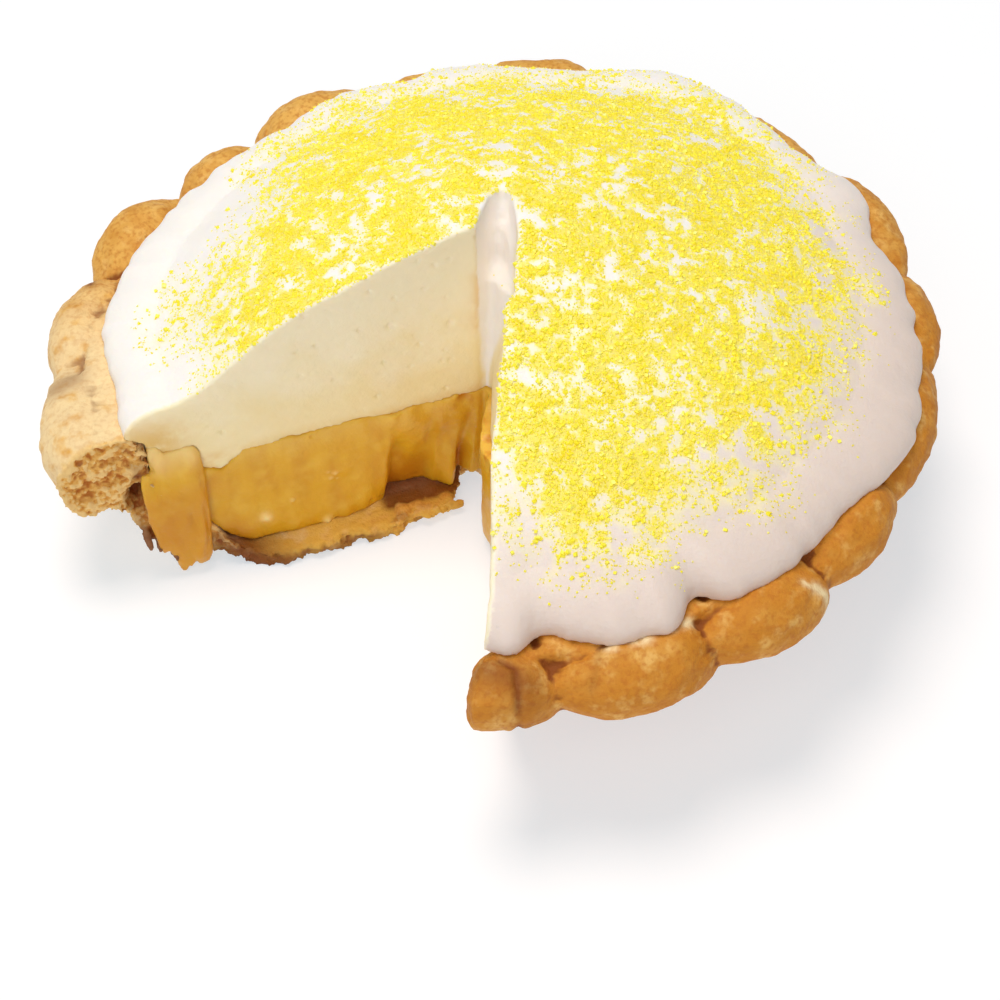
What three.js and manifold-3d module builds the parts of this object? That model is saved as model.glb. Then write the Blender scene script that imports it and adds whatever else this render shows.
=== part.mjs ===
// A lemon pie with one large slice taken out: a pastry crust with a fat rope rim, a lemon filling
// and a tall white topping strewn with coarse yellow sugar.
// Millimetres, +Z up. The origin is the centre of the rim, on the surface that the pie stands on.
// Azimuth is counter-clockwise from +X. The missing slice opens towards -Y.
import * as THREE from "three";
import { mergeVertices } from "three/addons/utils/BufferGeometryUtils.js";
import Module from "manifold-3d";

const wasm = await Module();
wasm.setup();

// The whole pie
const TOP_HEIGHT = 102;
const GAP = 0.35;
const SEED = 7;
const SMALLEST_DETAIL = 0.05;

// The crust: a baked shell with a flat bottom, flaring sides and a rope of folded lobes round the rim
const BASE_RADIUS = 78;
const WALL_FLARE = 27;
const WALL_HEIGHT = 34;
const WALL_THICKNESS = 6;
const BOTTOM_THICKNESS = 4.5;
const BASE_ROUNDING = 3;
const SLUMP = { width: 18, rope: 7, wall: 7 };
const ROPE_RADIUS = 115;
const ROPE_HEIGHT = 48.6;
const ROPE_TILT = 5.1;
const ROPE_THICKNESS = 20;
const RIM_INSIDE_RADIUS = 97.5;
const RIM_INSIDE_RISE = 13;
const RIM_INSIDE_DROP = 8;

// The lobes of the rope: the azimuth where each begins, and how far it reaches past the rope's radius
const LOBES = [[11.4, 12.5], [33.5, 9.5], [52, 9.5], [71, 11.5], [90.4, 8], [106.3, 11.5], [127.5, 6.5],
  [143.1, 10.8], [162.7, 10.5], [181.2, 10.6], [201, 10], [222, 10], [244, 10], [260, 9.3], [277.7, 11.5],
  [297, 11.2], [314.5, 8.5], [331.1, 8.7], [353.6, 10.1]];
const LOBE_ROUNDNESS = 2;
const LOBE_SKEW = 1.06;
const LOBE_RINGS = [0, 0.08, 0.26, 0.5, 0.76, 0.93];
const ROPE_SECTION = [-65, -38, -12, 14, 40, 66, 90, 114];
const CREASE_REACH = 4;
const CREASE_THICKNESS = 12.5;
const CREASE_SLANT = 1.5;
const DEEP_CREASES = { begin: 95, from: 125, to: 160, end: 176, drop: 7, inwards: 6 };

// The missing slice
const APEX = new THREE.Vector2(-1.66, -3.32);
const LEFT_CUT = 199;
const RIGHT_CUT = 270;
const BEYOND_RIM = 165;
const ABOVE_PIE = 125;
const BELOW_PIE = -6;
const RIGHT_STUMP = { out: 113, radius: 15, reach: 5.8 };

// The filling, and the topping that stands on it
const FILLING_HEIGHT = 40;
const FILLING_DIP = 6.5;
const FILLING_DIP_RADIUS = 78;
const FILLING_RIM_HEIGHT = 54.5;
const TOPPING_BELOW = 30;
const TOPPING_FOOT = 2;
const TOPPING_LIP = 16;
const TOPPING_LIP_DROP = 2.5;
const TOPPING_SHOULDER = 0.86;
const FILLING_SAG = 3;
const SWELL = { height: 0.9, width: 22 };
const TONGUE = { out: 86, foot: 6, head: 47, lean: 5.5, halfWidth: 6.6, halfDepth: 2.8 };

// The coarse sugar, and the off-centre round patch that it covers
const SUGAR_GRAINS = 190;
const SUGAR_SIZE = [1.3, 1.9];
const SUGAR_CENTRE = new THREE.Vector2(12, 8);
const SUGAR_REACH = 82;
const SUGAR_STRAY = 3;

const colours = {
  crust: { color: 0xdfa765, roughness: 0.75, metalness: 0 },
  filling: { color: 0xd0a030, roughness: 0.3, metalness: 0 },
  topping: { color: 0xfbf4e6, roughness: 0.55, metalness: 0 },
};

const radians = THREE.MathUtils.degToRad;
const lerp = THREE.MathUtils.lerp;
const smoothstep = THREE.MathUtils.smoothstep;

// A value that passes through a few [position, value] pairs and eases from each to the next
function through(pairs, x) {
  if (x <= pairs[0][0]) return pairs[0][1];
  for (let i = 1; i < pairs.length; i += 1) {
    const [x0, y0] = pairs[i - 1];
    const [x1, y1] = pairs[i];
    if (x <= x1) return lerp(y0, y1, smoothstep(x, x0, x1));
  }
  return pairs[pairs.length - 1][1];
}

// The same round a full turn, where the pairs start at azimuth 0
function around(pairs, azimuth) {
  const turn = ((azimuth % 360) + 360) % 360;
  return through([...pairs, [360, pairs[0][1]]], turn);
}

// Unevenness from -1 to 1, smooth over one unit: each whole-numbered place gets a value of its own
// from the last digits of a large wave
const SCATTER = { x: 127.1, y: 311.7, seed: 74.7, height: 43758.5453 };

function unevenness(x, y, seed) {
  const corner = (i, j) => {
    const wave = SCATTER.height * Math.sin(i * SCATTER.x + j * SCATTER.y + seed * SCATTER.seed);
    return (wave - Math.floor(wave)) * 2 - 1;
  };
  const i = Math.floor(x);
  const j = Math.floor(y);
  const u = smoothstep(x - i, 0, 1);
  const v = smoothstep(y - j, 0, 1);
  return lerp(lerp(corner(i, j), corner(i + 1, j), u), lerp(corner(i, j + 1), corner(i + 1, j + 1), u), v);
}

// A stream of numbers from 0 to 1 that a seed fixes
const STREAM = { factor: 16807, prime: 2147483647 };

function seeded(seed) {
  let state = seed;
  return () => {
    state = (state * STREAM.factor) % STREAM.prime;
    return state / STREAM.prime;
  };
}

// Joining and cutting
function solidOf(geometry) {
  const bare = geometry.clone();
  bare.deleteAttribute("normal");
  bare.deleteAttribute("uv");
  const merged = mergeVertices(bare, 1e-4);
  const vertProperties = Float32Array.from(merged.attributes.position.array);
  const triVerts = Uint32Array.from(merged.index.array);
  return new wasm.Manifold(new wasm.Mesh({ numProp: 3, vertProperties, triVerts }));
}

function closedGeometry(points, faces) {
  const geometry = new THREE.BufferGeometry();
  geometry.setAttribute("position", new THREE.Float32BufferAttribute(points.flat(), 3));
  geometry.setIndex(faces.flat());
  return geometry;
}

// The outer surface of a solid's largest body: loose scraps are dropped and sealed hollows filled
function mainBody(solid) {
  const { vertProperties, triVerts } = solid.getMesh();
  const owner = Array.from({ length: vertProperties.length / 3 }, (_, i) => i);
  const find = (i) => {
    let root = i;
    while (owner[root] !== root) root = owner[root];
    owner[i] = root;
    return root;
  };
  const shells = new Map();
  for (let i = 0; i < triVerts.length; i += 3) {
    owner[find(triVerts[i])] = find(triVerts[i + 1]);
    owner[find(triVerts[i + 1])] = find(triVerts[i + 2]);
  }
  for (let i = 0; i < triVerts.length; i += 3) {
    const root = find(triVerts[i]);
    if (!shells.has(root)) shells.set(root, []);
    shells.get(root).push(...triVerts.slice(i, i + 3));
  }
  const bodies = [...shells.values()].map((faces) => new wasm.Manifold(new wasm.Mesh({
    numProp: 3,
    vertProperties,
    triVerts: Uint32Array.from(faces),
  })));
  return bodies.reduce((best, body) => (body.volume() > best.volume() ? body : best));
}

function meshOf(solid, name, look) {
  const { vertProperties, triVerts } = mainBody(solid.simplify(SMALLEST_DETAIL)).getMesh();
  const geometry = new THREE.BufferGeometry();
  geometry.setAttribute("position", new THREE.Float32BufferAttribute(vertProperties, 3));
  geometry.setIndex(Array.from(triVerts));
  geometry.computeVertexNormals();
  const mesh = new THREE.Mesh(geometry, new THREE.MeshStandardMaterial(look));
  mesh.name = name;
  return mesh;
}

// A closed outline of [radius, height] points, grown outwards by a small distance
function grown(outline, distance) {
  return outline.map(([r, z, ...further], i) => {
    if (r === 0) return [0, z + (i === 0 ? -distance : distance)];
    const before = outline[Math.max(i - 1, 0)];
    const after = outline[Math.min(i + 1, outline.length - 1)];
    const along = new THREE.Vector2(after[0] - before[0], after[1] - before[1]).normalize();
    return [r + along.y * distance, z - along.x * distance, ...further];
  });
}

// A solid turned round the Z axis. Its outline runs from the axis, outwards along the underside,
// and back to the axis along the top. It may change with the azimuth, and a third number in a point
// turns that point a few degrees further round.
function turned(outlineAt, azimuths) {
  const rings = azimuths.map((azimuth) => outlineAt(azimuth).map(([r, z, further = 0]) => {
    const angle = radians(azimuth + further);
    return [r * Math.cos(angle), r * Math.sin(angle), z];
  }));
  const count = rings[0].length;
  const points = [rings[0][0], rings[0][count - 1]];
  rings.forEach((ring) => points.push(...ring.slice(1, -1)));
  const inner = count - 2;
  const at = (i, j) => 2 + (i % rings.length) * inner + (j - 1);
  const faces = [];
  for (let i = 0; i < rings.length; i += 1) {
    faces.push([0, at(i + 1, 1), at(i, 1)]);
    for (let j = 1; j < inner; j += 1) {
      faces.push([at(i, j), at(i + 1, j), at(i + 1, j + 1)]);
      faces.push([at(i, j), at(i + 1, j + 1), at(i, j + 1)]);
    }
    faces.push([1, at(i, inner), at(i + 1, inner)]);
  }
  return solidOf(closedGeometry(points, faces));
}

const evenly = (count) => Array.from({ length: count }, (_, i) => (i * 360) / count);

// A rounded body along a path of rings, closed at both ends by a single point
function ringed(start, rings, end) {
  const sides = rings[0].length;
  const points = [start, end, ...rings.flat()];
  const at = (i, j) => 2 + i * sides + (j % sides);
  const faces = [];
  for (let j = 0; j < sides; j += 1) {
    faces.push([0, at(0, j + 1), at(0, j)]);
    faces.push([1, at(rings.length - 1, j), at(rings.length - 1, j + 1)]);
    for (let i = 0; i < rings.length - 1; i += 1) {
      faces.push([at(i, j), at(i, j + 1), at(i + 1, j + 1)]);
      faces.push([at(i, j), at(i + 1, j + 1), at(i + 1, j)]);
    }
  }
  return solidOf(closedGeometry(points, faces));
}

// Places on the two cut faces: how far out from the apex, how far into the empty slice, how high
function onCut(azimuth, side, out, into, z) {
  const cos = Math.cos(radians(azimuth));
  const sin = Math.sin(radians(azimuth));
  return [APEX.x + out * cos - side * into * sin, APEX.y + out * sin + side * into * cos, z];
}

const onLeftCut = (out, into, z) => onCut(LEFT_CUT, 1, out, into, z);
const onRightCut = (out, into, z) => onCut(RIGHT_CUT, -1, out, into, z);

function steps(from, to, size) {
  const count = Math.ceil((to - from) / size);
  return Array.from({ length: count + 1 }, (_, i) => lerp(from, to, i / count));
}

// The space of the missing slice as a closed solid. Its two faces follow the ways in which a layer
// was cut or torn: left(out, z) and right(out, z) say how far the layer reaches into the slice.
function sliceSpace({ left, right, tip, leftSteps, rightSteps, heights }) {
  const levels = [BELOW_PIE, ...heights, ABOVE_PIE];
  const rings = levels.map((z, k) => {
    const torn = k === 0 || k === levels.length - 1 ? 0 : 1;
    const ring = leftSteps.map((out) => onLeftCut(out, torn * left(out, z), z));
    ring.push(onLeftCut(BEYOND_RIM, 0, z));
    ring.push(onCut((LEFT_CUT + RIGHT_CUT) / 2, 1, BEYOND_RIM, 0, z));
    ring.push(onRightCut(BEYOND_RIM, 0, z));
    [...rightSteps].reverse().forEach((out) => ring.push(onRightCut(out, torn * right(out, z), z)));
    tip(z).forEach(([x, y]) => ring.push([APEX.x + x, APEX.y + y, z]));
    return ring;
  });
  const count = rings[0].length;
  const at = (k, i) => k * count + (i % count);
  const faces = [];
  for (let k = 0; k < rings.length - 1; k += 1) {
    for (let i = 0; i < count; i += 1) {
      faces.push([at(k, i), at(k, i + 1), at(k + 1, i + 1)]);
      faces.push([at(k, i), at(k + 1, i + 1), at(k + 1, i)]);
    }
  }
  const lid = (ring) => THREE.ShapeUtils.triangulateShape(ring.map(([x, y]) => new THREE.Vector2(x, y)), []);
  lid(rings[0]).forEach(([a, b, c]) => faces.push([c, b, a]));
  const top = rings.length - 1;
  lid(rings[top]).forEach(([a, b, c]) => faces.push([at(top, a), at(top, b), at(top, c)]));
  return solidOf(closedGeometry(rings.flat(), faces));
}

// The height of the rope's centre line: the rim came out of the oven higher on one side
function ropeHeight(azimuth) {
  return ROPE_HEIGHT + ROPE_TILT * Math.cos(radians(azimuth));
}

// The lobe at an azimuth, and how full the rope is there: 1 in the middle of a lobe, 0 in a crease.
// A lobe stays fat towards its far end, which folds over the start of the next one.
function lobeAt(azimuth) {
  const turn = ((azimuth - LOBES[0][0] + 360) % 360) + LOBES[0][0];
  const lobes = [...LOBES, [LOBES[0][0] + 360, 0]];
  const i = lobes.findIndex(([edge]) => edge > turn + 1e-6);
  const [from, reach] = lobes[i - 1];
  const share = Math.max((turn - from) / (lobes[i][0] - from), 0);
  const skewed = 2 * share ** LOBE_SKEW - 1;
  return { full: (1 - Math.abs(skewed) ** LOBE_ROUNDNESS) ** (1 / LOBE_ROUNDNESS), reach };
}

// The rings of the crust stand close where a crease is sharp
function lobeAzimuths() {
  return LOBES.flatMap(([from], i) => {
    const to = i + 1 < LOBES.length ? LOBES[i + 1][0] : LOBES[0][0] + 360;
    return LOBE_RINGS.map((share) => lerp(from, to, share));
  });
}

// Beside the left cut the crust has slumped: its rope hangs lower and its wall bulges
const slumped = (azimuth) => 1 - smoothstep(Math.abs(azimuth - LEFT_CUT), 3, SLUMP.width);

// The outside and inside of the shell's flaring wall, and the height at which the rope overhangs it
const wall = (z) => BASE_RADIUS + WALL_FLARE * (z / WALL_HEIGHT) ** 0.95;
const wallInside = (z) => wall(z) - WALL_THICKNESS;
const underRope = (azimuth) => ropeHeight(azimuth) - ROPE_THICKNESS * 0.75 - SLUMP.rope * slumped(azimuth);

function wallOutside(z, azimuth) {
  return wall(z) + SLUMP.wall * slumped(azimuth) * Math.sin((Math.PI * z) / WALL_HEIGHT);
}

// The inside of the shell, from the bottom up to the thick inner side of the rim
function hollow(azimuth) {
  const corner = BOTTOM_THICKNESS + BASE_ROUNDING;
  const shoulder = underRope(azimuth) * 0.6;
  return [
    [wallInside(BOTTOM_THICKNESS) - BASE_ROUNDING, BOTTOM_THICKNESS],
    [wallInside(corner), corner],
    [wallInside(shoulder), shoulder],
    [RIM_INSIDE_RADIUS, ropeHeight(azimuth) - RIM_INSIDE_DROP],
  ];
}

// At the back on the left the creases between the lobes are deep, and sink in below the topping's edge
function creaseDepth(azimuth) {
  const { begin, from, to, end } = DEEP_CREASES;
  return smoothstep(azimuth, begin, from) * (1 - smoothstep(azimuth, to, end));
}

function crustOutline(azimuth, grow) {
  const height = ropeHeight(azimuth);
  const lobe = lobeAt(azimuth);
  const half = lerp(CREASE_THICKNESS, ROPE_THICKNESS, lobe.full) / 2;
  const depth = creaseDepth(azimuth) * (1 - lobe.full);
  const centre = ROPE_RADIUS + lerp(CREASE_REACH, lobe.reach, lobe.full) - half - DEEP_CREASES.inwards * depth;
  const overhang = underRope(azimuth);
  const rise = RIM_INSIDE_RISE * lerp(0.8, 1, lobe.full);
  const section = ROPE_SECTION.map((degrees) => {
    const up = Math.sin(radians(degrees));
    const hang = Math.min(up, 0) * SLUMP.rope * slumped(azimuth);
    const sunk = DEEP_CREASES.drop * depth;
    return [centre + half * Math.cos(radians(degrees)), height - sunk + half * up + hang, -CREASE_SLANT * up];
  });
  return grown([
    [0, 0],
    [BASE_RADIUS - BASE_ROUNDING, 0],
    [wallOutside(BASE_ROUNDING, azimuth), BASE_ROUNDING],
    [wallOutside(overhang * 0.5, azimuth), overhang * 0.5],
    [wallOutside(overhang, azimuth), overhang],
    ...section,
    [RIM_INSIDE_RADIUS + 5, height + rise, -CREASE_SLANT],
    [RIM_INSIDE_RADIUS, height + rise - 3, -CREASE_SLANT],
    ...hollow(azimuth).reverse(),
    [0, BOTTOM_THICKNESS],
  ], grow);
}

const wholeCrust = (grow) => turned((azimuth) => crustOutline(azimuth, grow), lobeAzimuths());

// The broken edge of the crust. The bottom was left behind past the cut, in a ragged ledge, and the
// rim is torn into flakes.
function crustLeft(out, z) {
  const ledge = through([[4, -6], [14, 8], [40, 10], [60, 11], [72, 7], [80, 3], [92, 3], [99, 0]], out);
  const rim = smoothstep(out, 92, 97);
  const ragged = unevenness(out / 3, z / 3, SEED) * lerp(1.2, 1.9, rim);
  const hole = 5 * Math.exp(-(((out - 99) / 2.4) ** 2) - ((z - 30) / 5) ** 2);
  return ledge + ragged - hole;
}

// On the right the rope ends in a rounded stump
function crustRight(out, z) {
  const reach = through([[8, -8], [60, -5], [96, -3]], out);
  const fromMiddle = Math.hypot(out - RIGHT_STUMP.out, (z - ROPE_HEIGHT) * 0.9) / RIGHT_STUMP.radius;
  const stump = RIGHT_STUMP.reach * Math.sqrt(Math.max(1 - fromMiddle ** 2, 0));
  return reach + stump * smoothstep(out, 88, 98) + unevenness(out / 4, z / 4, SEED + 1) * 0.6;
}

// The soft filling: a scooped hollow by the apex with one tongue left standing in it, and a face
// that sags outwards at its foot
function fillingLeft(out, z) {
  const low = 1 - smoothstep(z, 8, FILLING_HEIGHT);
  const scoop = through([[2, -3], [6, -9], [8, -3], [13, -3], [16, -9], [26, -9], [29, 0]], out);
  const sag = FILLING_SAG * (1 - smoothstep(z, 6, 18)) * smoothstep(out, 30, 40);
  return scoop * lerp(0.25, 1, low) + sag + unevenness(out / 9, z / 9, SEED + 2) * 0.5;
}

function fillingRight(out, z) {
  const bulge = through([[0, -1.5], [10, 0.4], [20, 0.6], [31, -2.3], [45, -4], [66, -2.4]], out);
  return bulge + unevenness(out / 9, z / 9, SEED + 3) * 0.5;
}

const toppingLeft = (out, z) => unevenness(out / 16, z / 16, SEED + 4) * 0.5;

function toppingRight(out, z) {
  const reach = through([[6, -8.9], [22, -8.3], [26, -5.5], [36, -5.5], [48, -3.8], [66, -2.4], [94, -2.3],
    [103, -1.2], [108, 1]], out);
  const foot = (1 - smoothstep(z, FILLING_HEIGHT, 84)) * (1 - smoothstep(out, 18, 34));
  return reach * (1 - 0.75 * foot) + unevenness(out / 16, z / 16, SEED + 5) * 0.3;
}

// Behind the apex the topping is gouged back in a rounded notch, deep at the top and gone at its foot
const TOPPING_NOTCH = [[8.6, 5.7], [6.6, 15], [4.6, 17], [2.4, 12.5]];

function toppingTip(z) {
  const depth = smoothstep(z, FILLING_HEIGHT + 2, 84);
  return TOPPING_NOTCH.map(([x, y]) => [x * lerp(0.3, 1, depth), lerp(0.2 * (9 - x), y, depth)]);
}

const crustSpace = sliceSpace({
  left: crustLeft,
  right: crustRight,
  tip: () => [],
  leftSteps: steps(4, 124, 3),
  rightSteps: steps(8, 124, 9),
  heights: steps(0, 66, 3),
});

const fillingSpace = sliceSpace({
  left: fillingLeft,
  right: fillingRight,
  tip: () => [[0, 1]],
  leftSteps: [...steps(2, 32, 3), ...steps(40, 104, 8)],
  rightSteps: steps(4, 104, 10),
  heights: steps(3, 63, 6),
});

const toppingSpace = sliceSpace({
  left: toppingLeft,
  right: toppingRight,
  tip: toppingTip,
  leftSteps: steps(1, 111, 10),
  rightSteps: [6, 22, 26, 36, 48, 66, 94, 103, 112],
  heights: steps(30, 110, 10),
});

// A thin flake of crust: three corners on the left cut, with some thickness
function flake(corners, thickness) {
  const base = corners.map(([out, into, z]) => onLeftCut(out, into, z));
  const a = new THREE.Vector3(...base[0]);
  const b = new THREE.Vector3(...base[1]);
  const c = new THREE.Vector3(...base[2]);
  const across = b.clone().sub(a).cross(c.clone().sub(a)).setLength(thickness);
  const lifted = base.map(([x, y, z]) => [x + across.x, y + across.y, z + across.z]);
  const faces = [[2, 1, 0], [3, 4, 5], [0, 1, 4], [0, 4, 3], [1, 2, 5], [1, 5, 4], [2, 0, 3], [2, 3, 5]];
  return solidOf(closedGeometry([...base, ...lifted], faces));
}

const flakes = [
  flake([[30, 2, 1], [25.5, 10.5, 0.2], [9.5, 7, 1.5]], 2.4),
  flake([[103, -3, 25], [98.5, 4, 13], [96, -4, 22]], 1.5),
  flake([[97, -3, 18], [92.5, 6, 9], [91, -4, 15]], 1.5),
];

// The tongue of filling that was drawn down and outwards over the cut side of the crust
function tongue(grow) {
  const rings = [];
  const tall = 10;
  const foot = TONGUE.foot - grow;
  const head = TONGUE.head + grow;
  const middle = (t) => ({
    out: TONGUE.out + 2 * t,
    into: lerp(TONGUE.lean, 0.6, t),
    z: lerp(foot, head, t),
  });
  for (let i = 1; i < tall; i += 1) {
    const t = i / tall;
    const { out, into, z } = middle(t);
    const half = Math.sin(Math.PI * t) ** 0.35;
    const corners = [[1, 0], [0.6, 0.8], [-0.6, 0.8], [-1, 0], [-0.6, -0.8], [0.6, -0.8]];
    rings.push(corners.map(([s, n]) => onLeftCut(
      out + s * (TONGUE.halfWidth * half + grow),
      into + n * (TONGUE.halfDepth * half + grow),
      z,
    )));
  }
  const tip = (t) => onLeftCut(middle(t).out, middle(t).into, middle(t).z);
  return ringed(tip(0), rings, tip(1));
}

// Filling: it fills the shell up to a level top that dips beside the crust and climbs it
function rawFilling(grow) {
  const outlineAt = (azimuth) => grown([
    [0, BOTTOM_THICKNESS + GAP],
    ...grown(hollow(azimuth), -GAP),
    [RIM_INSIDE_RADIUS - GAP, FILLING_RIM_HEIGHT],
    [RIM_INSIDE_RADIUS - 2, FILLING_RIM_HEIGHT],
    [RIM_INSIDE_RADIUS - 5, FILLING_HEIGHT + 10],
    [RIM_INSIDE_RADIUS - 8, FILLING_HEIGHT - 1],
    [FILLING_DIP_RADIUS, FILLING_HEIGHT - FILLING_DIP],
    [FILLING_DIP_RADIUS - 9, FILLING_HEIGHT - 1],
    [0, FILLING_HEIGHT],
  ], grow);
  return turned(outlineAt, evenly(48));
}

// How far out the edge of the topping lies on the rope
const TOPPING_REACH = [[0, 115], [8, 114], [14, 111], [26, 117], [34, 112], [62, 120], [78, 111], [88, 112],
  [96, 114], [104, 110], [115, 114], [127, 107], [176, 107], [192, 102], [266, 107], [273, 110], [277, 105],
  [286, 113], [293, 114], [298, 106], [303, 114], [321, 113], [337, 118.5], [351, 116]];

const toppingReach = (azimuth) => around(TOPPING_REACH, azimuth);

// The outside of the topping from its middle (0) to its edge (1): how far it has come down. It sank
// beside the left cut, and slopes more evenly elsewhere.
const TOPPING_RINGS = [0.86, 0.79, 0.72, 0.64, 0.56, 0.46, 0.36, 0.25, 0.13];
const SHOULDER_RINGS = [0, 28, 52, 74];
const TOPPING_FALL = [[0, 0], [0.2, 0.07], [0.4, 0.25], [0.6, 0.5], [0.76, 0.74], [0.88, 0.92], [0.96, 1]];
const TOPPING_SUNK = [[0, 0], [0.14, 0.06], [0.36, 0.24], [0.6, 0.48], [0.76, 0.83], [0.86, 0.95],
  [0.95, 1]];
const SUNK_WIDTH = 70;

function toppingHeight(azimuth, radius) {
  const edge = toppingReach(azimuth);
  const lip = ropeHeight(azimuth) + TOPPING_LIP - TOPPING_LIP_DROP * (1 + Math.sin(radians(azimuth))) / 2;
  const share = radius / edge;
  const sunk = 1 - smoothstep(Math.abs(azimuth - LEFT_CUT), 0, SUNK_WIDTH);
  const fall = lerp(through(TOPPING_FALL, share), through(TOPPING_SUNK, share), sunk);
  const x = radius * Math.cos(radians(azimuth));
  const y = radius * Math.sin(radians(azimuth));
  const swell = SWELL.height * unevenness(x / SWELL.width, y / SWELL.width, SEED + 6);
  return lerp(TOP_HEIGHT, lip, fall) + swell * smoothstep(share, 0.05, 0.3);
}

function rawTopping() {
  const outlineAt = (azimuth) => {
    const edge = toppingReach(azimuth);
    const foot = ropeHeight(azimuth) + TOPPING_FOOT;
    const top = toppingHeight(azimuth, edge * TOPPING_SHOULDER);
    const shoulder = SHOULDER_RINGS.map((degrees) => [
      edge * lerp(TOPPING_SHOULDER, 1, Math.cos(radians(degrees))),
      lerp(foot, top, 0.5 + 0.5 * Math.sin(radians(degrees))),
    ]);
    return [
      [0, TOPPING_BELOW],
      [RIM_INSIDE_RADIUS - 4, TOPPING_BELOW],
      [RIM_INSIDE_RADIUS, foot],
      [edge - 2, foot],
      ...shoulder,
      ...TOPPING_RINGS.map((share) => [edge * share, toppingHeight(azimuth, edge * share)]),
      [0, TOP_HEIGHT],
    ];
  };
  return turned(outlineAt, evenly(72));
}

// The sugar: the largest grains, spread evenly over the patch along a sunflower's spiral
function sugar() {
  const random = seeded(SEED);
  const grains = [];
  const goldenAngle = Math.PI * (3 - Math.sqrt(5));
  const stray = () => (random() - 0.5) * SUGAR_STRAY;
  for (let i = 0; i < SUGAR_GRAINS; i += 1) {
    const reach = SUGAR_REACH * Math.sqrt((i + 0.5) / SUGAR_GRAINS);
    const x = SUGAR_CENTRE.x + reach * Math.cos(i * goldenAngle) + stray();
    const y = SUGAR_CENTRE.y + reach * Math.sin(i * goldenAngle) + stray();
    const size = lerp(...SUGAR_SIZE, random());
    const turn = new THREE.Euler(random() * Math.PI, random() * Math.PI, random() * Math.PI);
    const azimuth = (THREE.MathUtils.radToDeg(Math.atan2(y, x)) + 360) % 360;
    const z = toppingHeight(azimuth, Math.hypot(x, y)) + size * 0.1;
    const grain = new THREE.OctahedronGeometry(1, 0);
    grain.scale(size, size * 0.85, size * 0.7);
    grain.applyMatrix4(new THREE.Matrix4().makeRotationFromEuler(turn));
    grain.translate(x, y, z);
    grains.push(solidOf(grain));
  }
  return wasm.Manifold.union(grains);
}

const crust = wholeCrust(0).subtract(crustSpace).add(wasm.Manifold.union(flakes));
const clearOfTongue = crust.subtract(tongue(GAP));

const filling = rawFilling(0).subtract(fillingSpace).add(tongue(0));

const topping = rawTopping().add(sugar()).subtract(toppingSpace)
  .subtract(wholeCrust(GAP))
  .subtract(rawFilling(GAP))
  .subtract(tongue(GAP));

const group = new THREE.Group();
group.add(meshOf(clearOfTongue, "crust", colours.crust));
group.add(meshOf(filling, "lemon_filling", colours.filling));
group.add(meshOf(topping, "topping", colours.topping));

export default group;
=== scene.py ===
# %% [markdown]
# # A lemon pie with one slice taken out
# The frame holds the pie's three measured solids: the crust, the lemon filling and the white topping.
# They have the right sizes but few faces. This lesson builds each one again with a fine skin, in the
# same place, and then strews the topping with real grains of yellow sugar.

import itertools
import math

import bmesh
import bpy
import numpy as np
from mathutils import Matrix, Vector
from mathutils.bvhtree import BVHTree


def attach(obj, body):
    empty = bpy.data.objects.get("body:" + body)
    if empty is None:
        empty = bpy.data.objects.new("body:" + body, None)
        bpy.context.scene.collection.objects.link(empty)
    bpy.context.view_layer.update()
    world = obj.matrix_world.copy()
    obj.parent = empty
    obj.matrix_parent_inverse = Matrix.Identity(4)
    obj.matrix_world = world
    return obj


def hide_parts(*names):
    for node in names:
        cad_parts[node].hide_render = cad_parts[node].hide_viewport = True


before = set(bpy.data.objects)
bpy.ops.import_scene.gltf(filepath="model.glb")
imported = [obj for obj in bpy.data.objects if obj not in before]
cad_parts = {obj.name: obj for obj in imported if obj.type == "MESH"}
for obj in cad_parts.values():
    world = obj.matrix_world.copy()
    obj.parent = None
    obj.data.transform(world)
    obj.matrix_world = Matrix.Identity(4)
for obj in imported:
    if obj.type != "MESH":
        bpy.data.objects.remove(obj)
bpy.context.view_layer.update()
MM = 0.001
print("nodes to dress:", sorted(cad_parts))

# %% [markdown]
# ## Soft steps and unevenness
# Food has no straight line or even surface, so nearly every shape below adds some unevenness. A sine
# would repeat and random numbers alone would prickle. Value noise does neither: each corner of a grid
# gets a fixed random value, and the points between ease from one corner to the next.

# %% Soft steps and unevenness
def ease(value, low, high):
    """0 below low and 1 above high, with a smooth step between them."""
    share = np.clip((value - low) / (high - low), 0, 1)
    return share * share * (3 - 2 * share)


def between(value, start, full, fading, end):
    """1 from full to fading, with soft steps down to 0 at start and at end."""
    return ease(value, start, full) * (1 - ease(value, fading, end))


def near(distance, width):
    """1 at no distance, and nearly 0 two widths away."""
    return np.exp(-((distance / width) ** 2))


def stacked(*parts):
    """Places from their coordinates, each a number or an array."""
    return np.stack(np.broadcast_arrays(*parts), -1)


def blend(start, end, share):
    return start + (end - start) * share


def through(pairs, place):
    """A value that eases from one (place, value) pair to the next."""
    places, values = np.array(pairs, float).T
    i = np.clip(np.searchsorted(places, place) - 1, 0, len(places) - 2)
    return blend(values[i], values[i + 1], ease(place, places[i], places[i + 1]))


def scattered(cells, seed):
    """A fixed random value from 0 to 1 for each whole-numbered cell."""
    x, y, z = np.moveaxis(cells.astype(np.int64), -1, 0)
    mixed = (x * 73856093) ^ (y * 19349663) ^ (z * 83492791) ^ (seed * 97531357)
    mixed = ((mixed ^ (mixed >> 13)) * 1274126177) & 0x7FFFFFFF
    return ((mixed ^ (mixed >> 15)) & 0xFFFF) / 0xFFFF


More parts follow.
